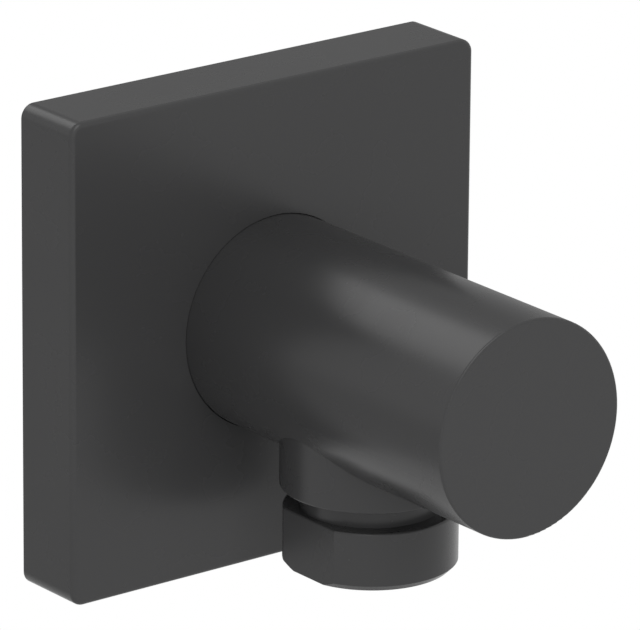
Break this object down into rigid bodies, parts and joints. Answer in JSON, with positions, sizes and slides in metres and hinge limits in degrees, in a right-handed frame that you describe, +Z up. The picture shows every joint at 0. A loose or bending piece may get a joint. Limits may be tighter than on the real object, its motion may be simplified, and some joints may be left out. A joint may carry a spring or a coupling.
{
  "type": "wall outlet elbow",
  "caption": "Matt black wall outlet for a shower hose: square cover plate, round body standing out from it, outlet pointing down with a non-return valve inside.",
  "frame": {"origin": "where the body's axis meets the finished wall, at the start of the wall thread", "axes": "+Y along the wall thread into the wall, -Y out into the room, +Z up, the hose leaves along -Z"},
  "size_m": [0.06, 0.073, 0.06],
  "materials": {
    "black_plate": "matte",
    "black_body": "matte",
    "black_nipple": "matte",
    "brass": "satin",
    "steel": "satin",
    "rubber": "matte",
    "gasket_rubber": "matte",
    "foam": "matte",
    "valve_plastic": "satin",
    "poppet_plastic": "satin"
  },
  "bodies": {
    "fitting": {"cover_plate": "black_plate", "wall_gasket": "foam", "plate_grip_ring": "rubber", "elbow_body": "black_body", "wall_nipple": "brass", "spigot_seal_rear": "rubber", "spigot_seal_front": "rubber", "grub_screw": "steel", "hose_nipple": "black_nipple", "nipple_gasket": "gasket_rubber", "valve_housing": "valve_plastic", "valve_housing_seal": "rubber", "valve_guide": "valve_plastic", "valve_spring": "steel"},
    "poppet": {"valve_poppet": "poppet_plastic", "poppet_seal": "rubber"}
  },
  "joints": [
    {"name": "poppet_lift", "type": "slide", "parent": "fitting", "child": "poppet", "axis": [0, 0, -1], "range_m": [0, 0.002], "stiffness_N_per_m": 120, "springref_m": -0.002, "deforming": ["valve_spring"]}
  ]
}
